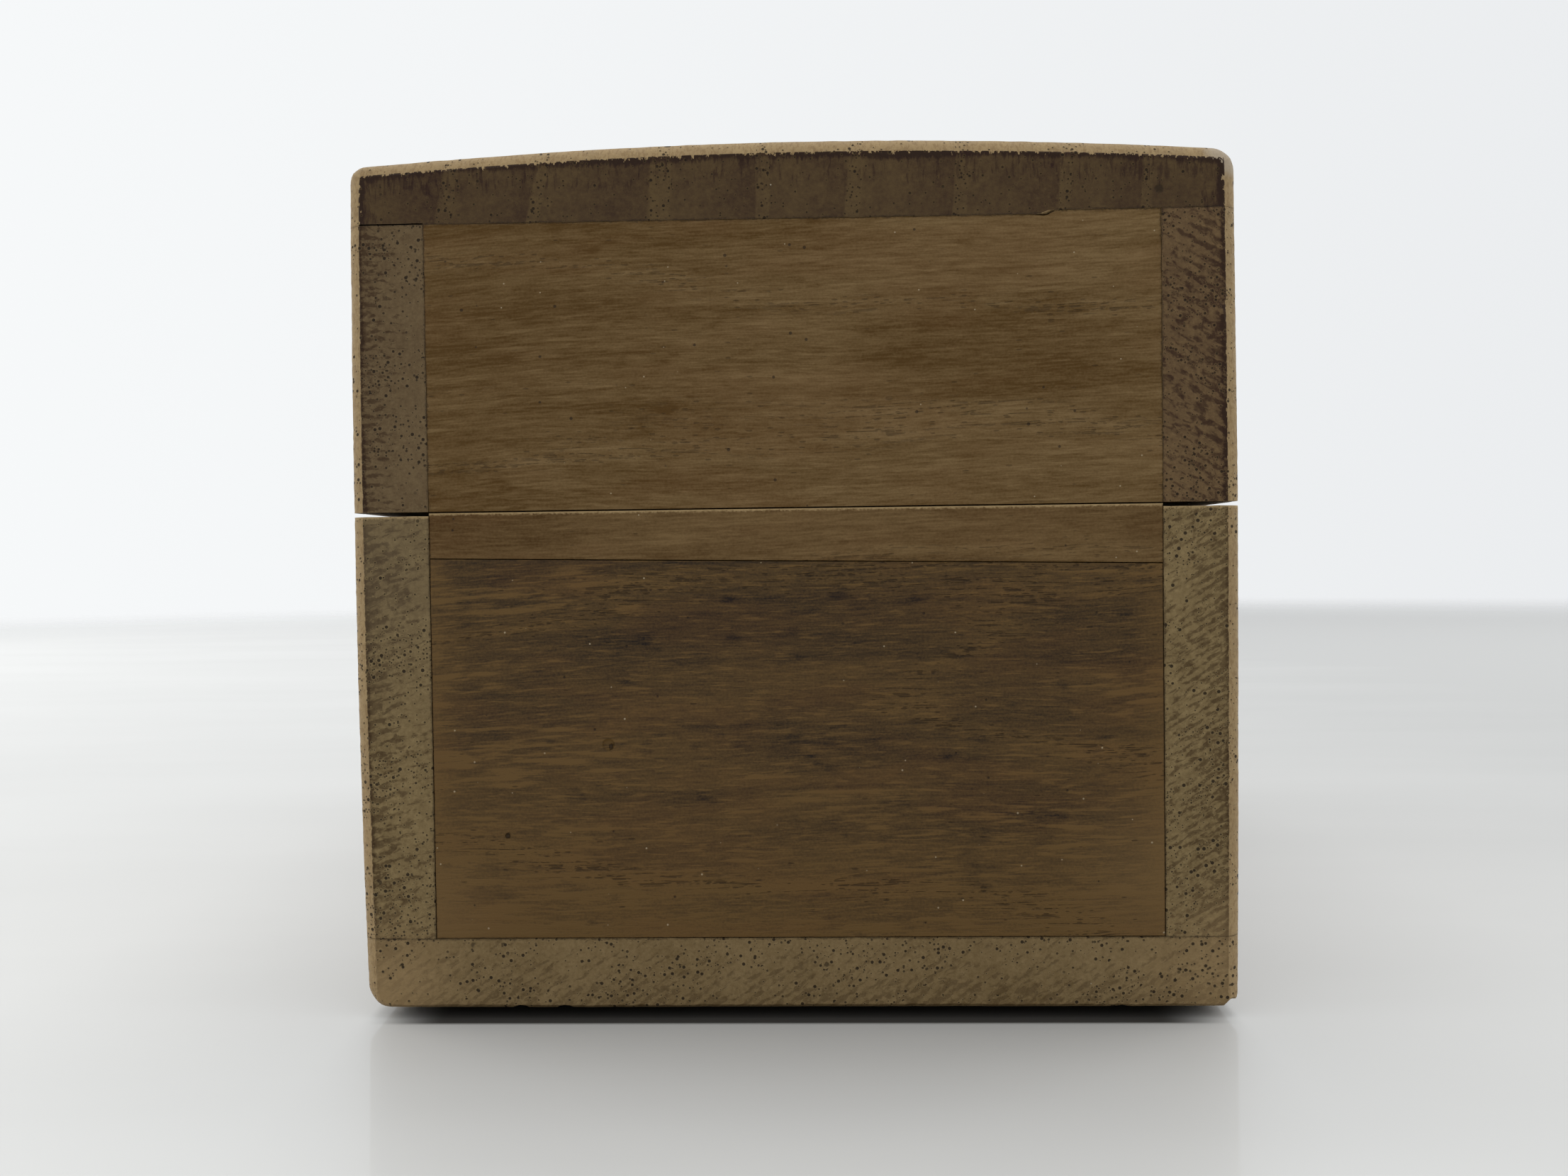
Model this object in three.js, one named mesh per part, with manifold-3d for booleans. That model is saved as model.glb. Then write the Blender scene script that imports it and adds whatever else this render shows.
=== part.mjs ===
// A small wooden puzzle box. A deep lid drops over a lip round a shallow tray, and a hidden drawer
// fills the case under the tray. A brass pin that slides when the box is tilted locks the lid, and a
// peg that is pushed down in the tray locks the drawer, so the box has to be opened in that order.
//
// Millimetres. +Z is up, the front end faces -Y and +X is on its right. The origin is on the surface
// the box stands on, under its middle. At rest the box is shut and both locks are free.

import * as THREE from "three";
import { mergeVertices } from "three/addons/utils/BufferGeometryUtils.js";
import Module from "manifold-3d";

// Outside of the box
const length = 120; // along Y
const width = 75.8; // along X, at half height
const height = 74.8; // to the crown of the top board
const crown = 1.3; // how far the top board falls from its middle to its long edges
const sideBulge = 0.4; // how far each side stands out at half height
const cornerRadius = 1.7; // along the four long edges
const arris = 0.9; // worn edge round both ends
const footLength = 70; // flat stretch of the underside that the box stands on
const endRelief = 0.9; // how far the underside rises from there to each end

// Boards of the two shells
const sideBoard = 6.7;
const endBoard = 6;
const topBoard = 6.5;
const bottomBoard = 6.9;
const caseHeight = 43.6; // to the top of the end rails
const sideStep = 0.25; // how far the case's side boards stop short of that
const lidGap = 0.1; // between the lid and the end rails

// Rails over the drawer's two openings: tapered, as they were planed by hand
const railAtLeft = 3.9;
const railAtRight = 5;

// Tray and the lip that keeps the lid in line
const trayFloor = 2.8;
const trayHeadroom = 0.1; // between the narrow end of a rail and the underside of the tray floor
const lip = 3;
const lipRise = 7; // above the top of the rails
const lipClearance = 0.3; // to the inside of the lid and of the case, all round

// Drawer
const drawerClearance = 0.15; // round each drawer end in its opening
const drawerHeadroom = 0.4; // between the drawer's sides and the rails they pass under
const drawerEnd = 6;
const drawerSide = 4;
const drawerBottom = 3;
const partition = 6;

// Brass pin that locks the lid
const pinDiameter = 3;
const pinLength = 9.3;
const pinTravel = 3;
const pinEnd = 0.4; // radius of the pin's rounded ends
const lockWidth = 16;
const lockDepth = 14;

// Wooden peg that locks the drawer
const pegDiameter = 3;
const pegTravel = 6;
const pegLift = 0.5; // between the raised peg and the partition
const knobDiameter = 8;
const knobHeight = 3;
const knobRadius = 0.8; // rounding of the knob's edges

// Holes
const boreClearance = 0.15; // round the pin and the peg
const boreEnd = 0.4; // spare depth of a blind hole past the pin or peg in it
const roundSteps = 24; // sides of every pin, peg and hole

// Levels and faces that follow from the sizes above
const endFace = length / 2;
const innerSide = width / 2 - sideBoard;
const innerEnd = endFace - endBoard;
const lidBottom = caseHeight + lidGap;
const lidCeiling = height - topBoard;
const trayUnderside = caseHeight - Math.min(railAtLeft, railAtRight) + trayHeadroom;
const trayTop = trayUnderside + trayFloor;
const lipTop = caseHeight + lipRise;
const lipSide = innerSide - lipClearance;
const lipEnd = innerEnd - lipClearance;
const pinHeight = lidBottom + lipRise / 2;
const drawerFloorLevel = bottomBoard + drawerClearance;
const drawerTop = caseHeight - Math.max(railAtLeft, railAtRight) - drawerHeadroom;
const drawerOuterSide = innerSide - drawerClearance;
const drawerInnerSide = drawerOuterSide - drawerSide;
const drawerInnerEnd = endFace - drawerEnd;

// Long way past the outside of the box, for blocks that the outside shape trims
const beyond = Math.max(length, width, height);

const darkElm = { color: 0x554532, roughness: 0.72, metalness: 0 };
const oliveElm = { color: 0x62533b, roughness: 0.72, metalness: 0 };
const palePanel = { color: 0x5b472d, roughness: 0.6, metalness: 0 };
const darkPanel = { color: 0x483825, roughness: 0.62, metalness: 0 };
const insideWood = { color: 0x8a6f4c, roughness: 0.75, metalness: 0 };
const brass = { color: 0xb08d4a, roughness: 0.35, metalness: 1 };

const wasm = await Module();
wasm.setup();

// A closed geometry as a solid that can be cut.
function solidOf(geometry) {
  const bare = geometry.clone();
  bare.deleteAttribute("normal");
  bare.deleteAttribute("uv");
  const merged = mergeVertices(bare);
  return new wasm.Manifold(
    new wasm.Mesh({
      numProp: 3,
      vertProperties: merged.getAttribute("position").array,
      triVerts: new Uint32Array(merged.getIndex().array),
    }),
  );
}

// A solid as a flat-shaded geometry.
function geometryOf(solid) {
  const mesh = solid.getMesh();
  const shared = new THREE.BufferGeometry();
  shared.setAttribute("position", new THREE.BufferAttribute(mesh.vertProperties, 3));
  shared.setIndex(new THREE.BufferAttribute(mesh.triVerts, 1));
  const geometry = shared.toNonIndexed();
  geometry.computeVertexNormals();
  return geometry;
}

// A square-edged block between two corners. Blocks that share a level share it exactly, so glued
// faces meet with no gap.
function block([x0, y0, z0], [x1, y1, z1]) {
  const geometry = new THREE.BoxGeometry(1, 1, 1);
  const corner = geometry.getAttribute("position");
  for (let i = 0; i < corner.count; i++) {
    corner.setXYZ(
      i,
      corner.getX(i) < 0 ? x0 : x1,
      corner.getY(i) < 0 ? y0 : y1,
      corner.getZ(i) < 0 ? z0 : z1,
    );
  }
  return solidOf(geometry);
}

// The end view of the box, in X and Z: bulged sides, a crowned top and rounded corners.
function endOutline() {
  const side = width / 2 - sideBulge;
  const bulge = width / 2 + sideBulge; // control point of a curve that passes half width
  const shoulder = height - crown;
  const peak = height + crown; // control point of a curve that passes the full height
  const r = cornerRadius;
  const outline = new THREE.Shape();
  outline.moveTo(-side + r, 0);
  outline.lineTo(side - r, 0);
  outline.absarc(side - r, r, r, -Math.PI / 2, 0);
  outline.quadraticCurveTo(bulge, height / 2, side, shoulder - r);
  outline.absarc(side - r, shoulder - r, r, 0, Math.PI / 2);
  outline.quadraticCurveTo(0, peak, -side + r, shoulder);
  outline.absarc(-side + r, shoulder - r, r, Math.PI / 2, Math.PI);
  outline.quadraticCurveTo(-bulge, height / 2, -side, r);
  outline.absarc(-side + r, r, r, Math.PI, 1.5 * Math.PI);
  return outline;
}

// The side view of the underside, in Y and Z: flat in the middle and rising to both ends.
function sideOutline() {
  const foot = footLength / 2;
  const knee = (foot + endFace) / 2; // where the curve's control point lies, so it leaves the foot level
  const outline = new THREE.Shape();
  outline.moveTo(-beyond, endRelief);
  outline.lineTo(-endFace, endRelief);
  outline.quadraticCurveTo(-knee, 0, -foot, 0);
  outline.lineTo(foot, 0);
  outline.quadraticCurveTo(knee, 0, endFace, endRelief);
  outline.lineTo(beyond, endRelief);
  outline.lineTo(beyond, 2 * beyond);
  outline.lineTo(-beyond, 2 * beyond);
  outline.closePath();
  return outline;
}

// The outside of the whole box. Every outer board is trimmed by it, so the shells run on together.
function outside() {
  const lengthwise = new THREE.ExtrudeGeometry(endOutline(), {
    depth: length - 2 * arris,
    bevelEnabled: true,
    bevelThickness: arris,
    bevelSize: arris,
    bevelOffset: -arris,
    bevelSegments: 3,
    curveSegments: 8,
  });
  lengthwise.translate(0, 0, arris - endFace);
  lengthwise.rotateX(Math.PI / 2);
  const across = new THREE.ExtrudeGeometry(sideOutline(), {
    depth: 2 * beyond,
    bevelEnabled: false,
    curveSegments: 8,
  });
  across.translate(0, 0, -beyond);
  across.rotateX(Math.PI / 2);
  across.rotateZ(Math.PI / 2);
  return solidOf(lengthwise).intersect(solidOf(across));
}

const shell = outside();

// A board cut from the outside shape between two corners.
function outerBoard(low, high) {
  return block(low, high).intersect(shell);
}

// A plain hole along Y from one Y to another.
function holeAlongY(radius, x, z, y0, y1) {
  const hole = new THREE.CylinderGeometry(radius, radius, y1 - y0, roundSteps);
  hole.translate(x, (y0 + y1) / 2, z);
  return solidOf(hole);
}

// A plain hole straight down from one Z to another.
function holeAlongZ(radius, x, y, z0, z1) {
  const hole = new THREE.CylinderGeometry(radius, radius, z1 - z0, roundSteps);
  hole.rotateX(Math.PI / 2);
  hole.translate(x, y, (z0 + z1) / 2);
  return solidOf(hole);
}

function named(name, finish, geometry) {
  const mesh = new THREE.Mesh(geometry, new THREE.MeshStandardMaterial(finish));
  mesh.name = name;
  return mesh;
}

function piece(name, finish, solid) {
  return named(name, finish, geometryOf(solid));
}

// The front pin hole runs from inside the lid's end panel back through the lip into the lock block.
const pinRadius = pinDiameter / 2;
const pinTail = pinLength - lipEnd; // back end of the pin with its front end flush with the lip
const boreRadius = pinRadius + boreClearance;
const pinBore = holeAlongY(
  boreRadius,
  0,
  pinHeight,
  -lipEnd - lipClearance - pinTravel - boreEnd,
  pinTail + boreEnd,
);

// The peg's hole runs from the tray down into the partition of the drawer.
const pegRadius = pegDiameter / 2;
const pegTip = drawerTop + pegLift;
const knobUnderside = trayTop + pegTravel + trayHeadroom;
const pegBore = holeAlongZ(
  pegRadius + boreClearance,
  0,
  0,
  pegTip - pegTravel - boreEnd,
  knobUnderside,
);

// Lid: a top board over two side boards, with an end panel let in between them at each end.
function lid() {
  const group = new THREE.Group();
  group.add(
    piece(
      "lid_top_board",
      darkElm,
      outerBoard([-beyond, -beyond, lidCeiling], [beyond, beyond, beyond]),
    ),
  );
  for (const [name, x0, x1] of [
    ["lid_side_left", -beyond, -innerSide],
    ["lid_side_right", innerSide, beyond],
  ]) {
    const side = outerBoard([x0, -beyond, lidBottom], [x1, beyond, lidCeiling]);
    group.add(piece(name, darkElm, side));
  }
  for (const [name, y0, y1] of [
    ["lid_end_front", -beyond, -innerEnd],
    ["lid_end_back", innerEnd, beyond],
  ]) {
    const panel = outerBoard([-innerSide, y0, lidBottom], [innerSide, y1, lidCeiling]);
    group.add(piece(name, palePanel, panel.subtract(pinBore)));
  }
  return group;
}

// A tapered rail between the case's sides, cut from the outside shape.
function endRail(y0, y1) {
  const taper = new THREE.Shape();
  taper.moveTo(-innerSide, caseHeight - railAtLeft);
  taper.lineTo(innerSide, caseHeight - railAtRight);
  taper.lineTo(innerSide, caseHeight);
  taper.lineTo(-innerSide, caseHeight);
  taper.closePath();
  const geometry = new THREE.ExtrudeGeometry(taper, { depth: y1 - y0, bevelEnabled: false });
  geometry.rotateX(Math.PI / 2);
  geometry.translate(0, y1, 0);
  return solidOf(geometry).intersect(shell);
}

// Strips round the tray that the lid drops over.
function lips() {
  const group = new THREE.Group();
  for (const [name, x0, x1] of [
    ["lip_left", -lipSide, lip - lipSide],
    ["lip_right", lipSide - lip, lipSide],
  ]) {
    group.add(piece(name, insideWood, block([x0, -lipEnd, trayTop], [x1, lipEnd, lipTop])));
  }
  for (const [name, y0, y1] of [
    ["lip_front", -lipEnd, lip - lipEnd],
    ["lip_back", lipEnd - lip, lipEnd],
  ]) {
    const strip = block([lip - lipSide, y0, trayTop], [lipSide - lip, y1, lipTop]);
    group.add(piece(name, insideWood, strip.subtract(pinBore)));
  }
  return group;
}

// Case: a bottom board, two side boards, two end rails, and the tray floor between them.
function caseShell() {
  const group = new THREE.Group();
  const bottom = outerBoard([-beyond, -beyond, -beyond], [beyond, beyond, bottomBoard]);
  group.add(piece("bottom_board", oliveElm, bottom));
  for (const [name, x0, x1] of [
    ["case_side_left", -beyond, -innerSide],
    ["case_side_right", innerSide, beyond],
  ]) {
    const side = outerBoard([x0, -beyond, bottomBoard], [x1, beyond, caseHeight - sideStep]);
    group.add(piece(name, oliveElm, side));
  }
  group.add(piece("end_rail_front", palePanel, endRail(-endFace, -innerEnd)));
  group.add(piece("end_rail_back", palePanel, endRail(innerEnd, endFace)));
  const floor = block([-innerSide, -innerEnd, trayUnderside], [innerSide, innerEnd, trayTop]);
  group.add(piece("tray_floor", insideWood, floor.subtract(pegBore)));
  group.add(lips());
  const lock = block(
    [-lockWidth / 2, lip - lipEnd, trayTop],
    [lockWidth / 2, lip - lipEnd + lockDepth, lipTop],
  );
  group.add(piece("lock_block", insideWood, lock.subtract(pinBore)));
  return group;
}

// A drawer end fills its opening up to the tapered rail.
function drawerEndPanel(y0, y1) {
  const panel = new THREE.Shape();
  const slope = (railAtLeft - railAtRight) / (2 * innerSide);
  const middle = caseHeight - (railAtLeft + railAtRight) / 2 - drawerClearance;
  panel.moveTo(-drawerOuterSide, drawerFloorLevel);
  panel.lineTo(drawerOuterSide, drawerFloorLevel);
  panel.lineTo(drawerOuterSide, middle + slope * drawerOuterSide);
  panel.lineTo(-drawerOuterSide, middle - slope * drawerOuterSide);
  panel.closePath();
  const geometry = new THREE.ExtrudeGeometry(panel, { depth: y1 - y0, bevelEnabled: false });
  geometry.rotateX(Math.PI / 2);
  geometry.translate(0, y1, 0);
  return solidOf(geometry).intersect(shell);
}

// Drawer: two ends, two sides, a bottom let in between them, and a partition across the middle.
function drawer() {
  const group = new THREE.Group();
  group.add(piece("drawer_front", darkPanel, drawerEndPanel(-endFace, -drawerInnerEnd)));
  group.add(piece("drawer_back", darkPanel, drawerEndPanel(drawerInnerEnd, endFace)));
  for (const [name, x0, x1] of [
    ["drawer_side_left", -drawerOuterSide, -drawerInnerSide],
    ["drawer_side_right", drawerInnerSide, drawerOuterSide],
  ]) {
    const low = [x0, -drawerInnerEnd, drawerFloorLevel];
    group.add(piece(name, insideWood, block(low, [x1, drawerInnerEnd, drawerTop])));
  }
  const bottomTop = drawerFloorLevel + drawerBottom;
  const bottom = block(
    [-drawerInnerSide, -drawerInnerEnd, drawerFloorLevel],
    [drawerInnerSide, drawerInnerEnd, bottomTop],
  );
  group.add(piece("drawer_floor", insideWood, bottom));
  const wall = block(
    [-drawerInnerSide, -partition / 2, bottomTop],
    [drawerInnerSide, partition / 2, drawerTop],
  );
  group.add(piece("drawer_partition", insideWood, wall.subtract(pegBore)));
  return group;
}

// A quarter circle of a lathe profile, from one angle to another.
function quarter(centreX, centreY, radius, from, to) {
  const arc = new THREE.Path();
  arc.absarc(centreX, centreY, radius, from, to, to < from);
  return arc.getPoints(4);
}

// Brass pin with rounded ends, drawn back into the lock block.
function tiltPin() {
  const profile = [
    new THREE.Vector2(0, 0),
    ...quarter(pinRadius - pinEnd, pinEnd, pinEnd, -Math.PI / 2, 0),
    ...quarter(pinRadius - pinEnd, pinLength - pinEnd, pinEnd, 0, Math.PI / 2),
    new THREE.Vector2(0, pinLength),
  ];
  const pin = named("tilt_pin", brass, new THREE.LatheGeometry(profile, roundSteps));
  pin.position.set(0, -lipEnd, pinHeight);
  return pin;
}

// Wooden peg with a round knob, raised clear of the drawer.
function drawerPeg() {
  const shaft = knobUnderside - pegTip;
  const knob = knobDiameter / 2;
  const profile = [
    new THREE.Vector2(0, 0),
    ...quarter(pegRadius - pinEnd, pinEnd, pinEnd, -Math.PI / 2, 0),
    new THREE.Vector2(pegRadius, shaft),
    ...quarter(knob - knobRadius, shaft + knobRadius, knobRadius, -Math.PI / 2, 0),
    ...quarter(knob - knobRadius, shaft + knobHeight - knobRadius, knobRadius, 0, Math.PI / 2),
    new THREE.Vector2(0, shaft + knobHeight),
  ];
  const peg = named("drawer_peg", darkPanel, new THREE.LatheGeometry(profile, roundSteps));
  peg.rotation.x = Math.PI / 2;
  peg.position.z = pegTip;
  return peg;
}

const box = new THREE.Group();
box.add(lid(), caseShell(), drawer(), tiltPin(), drawerPeg());

export default box;
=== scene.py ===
import math

import bpy
import numpy as np
from mathutils import Matrix, Vector


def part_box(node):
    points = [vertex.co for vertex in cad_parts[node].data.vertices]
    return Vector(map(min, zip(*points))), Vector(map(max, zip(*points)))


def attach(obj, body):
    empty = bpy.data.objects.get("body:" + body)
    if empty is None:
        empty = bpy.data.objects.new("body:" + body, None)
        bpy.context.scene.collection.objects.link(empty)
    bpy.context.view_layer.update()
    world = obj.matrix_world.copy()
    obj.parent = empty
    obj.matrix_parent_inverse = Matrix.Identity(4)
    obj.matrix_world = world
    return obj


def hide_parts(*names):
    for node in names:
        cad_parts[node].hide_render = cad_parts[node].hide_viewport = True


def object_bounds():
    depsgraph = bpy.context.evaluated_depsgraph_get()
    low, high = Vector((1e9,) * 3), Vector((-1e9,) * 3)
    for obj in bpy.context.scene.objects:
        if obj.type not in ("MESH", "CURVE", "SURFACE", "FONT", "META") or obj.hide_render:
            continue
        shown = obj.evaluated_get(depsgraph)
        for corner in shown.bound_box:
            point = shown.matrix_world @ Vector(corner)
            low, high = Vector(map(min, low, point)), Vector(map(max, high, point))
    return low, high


# The looks of a small, worn wooden puzzle box: boards with real worn edges, seams, chips and dents,
# and a procedural wood for each board that shows pores on end grain and streaks along the grain.
# Metres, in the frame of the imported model: the end that the photograph shows faces -Y.

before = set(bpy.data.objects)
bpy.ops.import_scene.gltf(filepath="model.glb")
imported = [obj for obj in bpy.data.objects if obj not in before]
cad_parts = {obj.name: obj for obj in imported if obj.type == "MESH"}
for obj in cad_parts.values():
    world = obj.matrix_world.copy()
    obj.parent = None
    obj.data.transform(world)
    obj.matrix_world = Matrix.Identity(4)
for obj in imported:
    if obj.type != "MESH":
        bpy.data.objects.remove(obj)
cad_low, cad_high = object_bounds()

MM = 0.001
HALF_LENGTH = cad_high.y
HALF_WIDTH = cad_high.x
HEIGHT = cad_high.z

# Outside shape, as the CAD has it, with each long edge worn to a radius of its own
CROWN = 1.3 * MM
SIDE_BULGE = 0.4 * MM
LEAN_LEFT = 0.25 * MM  # how much less the left side falls in towards the top
FLATTER_RIGHT = 0.2 * MM  # how much less the right side stands out
END_RELIEF = 0.9 * MM
FOOT_LENGTH = 70 * MM
CORNER_BOTTOM_RIGHT = 1.3 * MM
CORNER_TOP_RIGHT = 2.0 * MM
CORNER_TOP_LEFT = 1.4 * MM
CORNER_BOTTOM_LEFT = 2.3 * MM

# The seam between the top board and the lid's front panel sags from its left as far as a small step
STEP_AT = 22.4 * MM
STEP_WIDTH = 0.7 * MM
SAG_FROM = -31 * MM
SAG_LEAST = 0.12 * MM
SAG_MORE = 0.2 * MM  # how much more it sags at the step than at its left
SPLINTER_GAP = 0.13 * MM  # widest place of the dark gap just before the step
SPLINTER_REACH = 0.9 * MM

# Worn edges round both ends: how far each reaches in from the outline, and how deep it is
ARRIS_SIDE = 1.1 * MM
ARRIS_TOP = 1.2 * MM
ARRIS_BOTTOM = 0.3 * MM
ARRIS_DEPTH = 0.9 * MM

# Mesh spacing round an outline, along a board and near its ends, and over a panel and near its dents
OUTLINE_STEP = 0.35 * MM
BOARD_STEP = 1.6 * MM
BOARD_FINE_STEP = 0.4 * MM
BOARD_FINE_REACH = 4 * MM
PANEL_STEP = 0.35 * MM
PANEL_FINE_STEP = 0.09 * MM
PANEL_FINE_REACH = 0.9 * MM

SEAM = 0.006 * MM  # least distance from a piece's face to the middle of a glued joint
BITE = 0.03 * MM  # how far noise moves a worn edge
WARP = 0.02 * MM  # how far noise moves a broad face

RAIL_TILT = 1.1 * MM  # how much higher the rail's lower edge is at its left than at its right
DRAWER_FILLS = 0.09 * MM  # how much of its clearance each drawer end fills at its top and sides
PANEL_SET_BACK = 0.02 * MM  # how far a panel's face lies behind the ends of the boards

PIN_BORE_RADIUS = 1.65 * MM  # room for the brass pin in the lid's front panel
PIN_BORE_DEPTH = 3.1 * MM

SEED = 7


# ---------------------------------------------------------------- noise for shapes


class Waves:
    """Smooth repeatable noise from a sum of random sine waves, about -1 to 1."""

    def __init__(self, seed, size, count=10):
        rng = np.random.default_rng(seed)
        self.directions = rng.normal(size=(count, 3)) / size
        self.phases = rng.uniform(0, 2 * math.pi, count)

    def __call__(self, points):
        turns = points @ self.directions.T + self.phases
        return np.sin(turns).sum(1) / math.sqrt(len(self.phases) / 2)


warp = Waves(SEED, 14 * MM)
ripple = Waves(SEED + 1, 2.2 * MM)
jag = Waves(SEED + 2, 0.25 * MM, 16)


# ---------------------------------------------------------------- the box's outline


def quadratic(start, control, end, count=160):
    """A quadratic curve as points, without its last one."""
    t = np.linspace(0, 1, count, endpoint=False)[:, None]
    start, control, end = (np.array(p, float) for p in (start, control, end))
    return (1 - t) ** 2 * start + 2 * t * (1 - t) * control + t**2 * end


def rounding(x, z, radius, start):
    """A quarter circle, anticlockwise from an angle in quarter turns, about a centre."""
    angle = (start + np.linspace(0, 1, 24, endpoint=False)) * math.pi / 2
    return np.stack([x + radius * np.cos(angle), z + radius * np.sin(angle)], 1)


def seam_drop(x):
    """How far the seam under the top board sags at the front: it runs low as far as a small step."""
    share = np.clip((x - SAG_FROM) / (STEP_AT - SAG_FROM), 0, 1)
    return np.clip((STEP_AT - x) / STEP_WIDTH, 0, 1) * (SAG_LEAST + SAG_MORE * share)


def splinter(x):
    """The thin dark gap that opens along the seam just before its step."""
    widest_at = STEP_AT - 1.0 * MM
    return SPLINTER_GAP * np.clip(1 - np.abs(x - widest_at) / SPLINTER_REACH, 0, 1)


def outline():
    """The end view anticlockwise from the bottom left corner: points in X and Z and outward normals."""
    side = HALF_WIDTH - SIDE_BULGE
    bulge = HALF_WIDTH + SIDE_BULGE
    shoulder = HEIGHT - CROWN
    br, tr, tl, bl = CORNER_BOTTOM_RIGHT, CORNER_TOP_RIGHT, CORNER_TOP_LEFT, CORNER_BOTTOM_LEFT
    path = np.concatenate(
        [
            quadratic((-side + bl, 0), (0, 0), (side - br, 0)),
            rounding(side - br, br, br, -1),
            quadratic((side, br), (bulge - 2 * FLATTER_RIGHT, HEIGHT / 2), (side, shoulder - tr)),
            rounding(side - tr, shoulder - tr, tr, 0),
            quadratic((side - tr, shoulder), (0, HEIGHT + CROWN), (-side - LEAN_LEFT + tl, shoulder)),
            rounding(-side - LEAN_LEFT + tl, shoulder - tl, tl, 1),
            quadratic((-side - LEAN_LEFT, shoulder - tl), (-bulge, HEIGHT / 2), (-side, bl)),
            rounding(-side + bl, bl, bl, 2),
        ]
    )
    closed = np.vstack([path, path[:1]])
    along = np.concatenate([[0], np.cumsum(np.linalg.norm(np.diff(closed, axis=0), axis=1))])
    count = int(along[-1] / OUTLINE_STEP)
    at = np.linspace(0, along[-1], count, endpoint=False)
    points = np.stack([np.interp(at, along, closed[:, i]) for i in (0, 1)], 1)
    tangent = np.roll(points, -1, 0) - np.roll(points, 1, 0)
    tangent /= np.linalg.norm(tangent, axis=1)[:, None]
    return points, np.stack([tangent[:, 1], -tangent[:, 0]], 1)


OUTLINE, OUTLINE_NORMAL = outline()


def run_of(depth):
    """The stretch of the outline where depth is positive, from end to end, cut exactly where it is 0."""
    inside = depth > 0
    first = next(i for i in range(len(inside)) if inside[i] and not inside[i - 1])
    order = (np.arange(len(inside)) + first) % len(inside)
    count = int(np.argmin(inside[order])) if not inside[order].all() else len(order)
    run = order[:count]
    points, normals = OUTLINE[run], OUTLINE_NORMAL[run]
    ends = []
    for here, there in ((run[0], run[0] - 1), (run[-1], (run[-1] + 1) % len(inside))):
        share = depth[here] / (depth[here] - depth[there])
        ends.append(OUTLINE[here] + share * (OUTLINE[there] - OUTLINE[here]))
    points = np.vstack([ends[0], points, ends[1]])
    normals = np.vstack([normals[0], normals, normals[-1]])
    return points, normals


def section(depth, inner):
    """A board's closed section: the outer stretch of the outline, then straight edges through the inner
    corners back to its start. Returns the points, the outline's normals, how far each point follows the
    outline when it is worn back (1 on it, and less along the edges that leave it), and inner normals."""
    points, outer = run_of(depth)
    facing = np.zeros_like(outer)
    follow = np.ones(len(points))
    corners = [points[-1], *[np.array(c, float) for c in inner], points[0]]
    last_leg = len(corners) - 2
    left_at, met_at = outer[-1], outer[0]
    fade = 2 if last_leg == 0 else 1  # an only edge leaves the outline and meets it again in half its length
    for leg, (a, b) in enumerate(zip(corners, corners[1:])):
        step = b - a
        count = max(2, int(np.linalg.norm(step) / OUTLINE_STEP))
        normal = np.array([step[1], -step[0]]) / np.linalg.norm(step)
        facing[-1] += normal
        share = np.linspace(0, 1, count + 1)[1:, None]
        points = np.vstack([points, a + share * step])
        facing = np.vstack([facing, np.tile(normal, (count, 1))])
        leaving = np.clip(1 - fade * share, 0, 1) * (leg == 0)
        meeting = np.clip(1 - fade * (1 - share), 0, 1) * (leg == last_leg)
        follow = np.concatenate([follow, (leaving + meeting)[:, 0]])
        outer = np.vstack([outer, np.where(leaving >= meeting, left_at, met_at)])
    facing[0] += facing[-1]
    return points[:-1], outer[:-1], follow[:-1], facing[:-1]


# ---------------------------------------------------------------- meshes


def make_object(name, body, material, vertices, faces):
    """A new piece with smooth faces and sharp edges, riding on its body."""
    mesh = bpy.data.meshes.new(name)
    mesh.from_pydata(vertices.tolist(), [], faces)
    mesh.validate()
    mesh.polygons.foreach_set("use_smooth", [True] * len(mesh.polygons))
    mesh.set_sharp_from_angle(angle=math.radians(16))
    mesh.materials.append(material)
    piece = bpy.data.objects.new(name, mesh)
    bpy.context.scene.collection.objects.link(piece)
    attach(piece, body)
    return piece


def scoop(points, centre, radius):
    """Pushes the points inside a sphere out to its surface, which leaves a rounded chip or dent."""
    offset = points - np.array(centre)
    distance = np.linalg.norm(offset, axis=1)
    inside = distance < radius
    points[inside] += offset[inside] * (radius / np.maximum(distance[inside], 1e-9) - 1)[:, None]


def wall(rings, count):
    """Quads between neighbouring rings of a tube of points, and its two end caps. The rings run along +Y
    and are anticlockwise as seen from the front, so that every face looks outwards."""
    around = np.arange(count)
    after = (around + 1) % count
    faces = []
    for ring in range(rings - 1):
        low, high = ring * count, (ring + 1) * count
        faces += np.stack([low + around, high + around, high + after, low + after], 1).tolist()
    last = (rings - 1) * count
    return faces + [list(range(count)), list(range(last, last + count))[::-1]]


def arris_width(points, normals, extra):
    """How far the worn edge reaches in at each point of a section. Each of the extra torn places is
    given as the height of its upper end, how much further it reaches there, and its length."""
    level = np.where(normals[:, 1] > 0, ARRIS_TOP, ARRIS_BOTTOM)
    width = ARRIS_SIDE * normals[:, 0] ** 2 + level * normals[:, 1] ** 2
    for upper_end, reach, length in extra:
        below = (upper_end - points[:, 1]) / length
        width += reach * np.clip(below * 8, 0, 1) * np.clip(1 - below, 0, 1)
    return width


# Share of the arris's width and depth that each ring of a worn edge has
EDGE_PROFILE = [(0, 0), (0.12, 0.06), (0.3, 0.17), (0.5, 0.32), (0.7, 0.52), (0.86, 0.74), (1, 1)]


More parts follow.
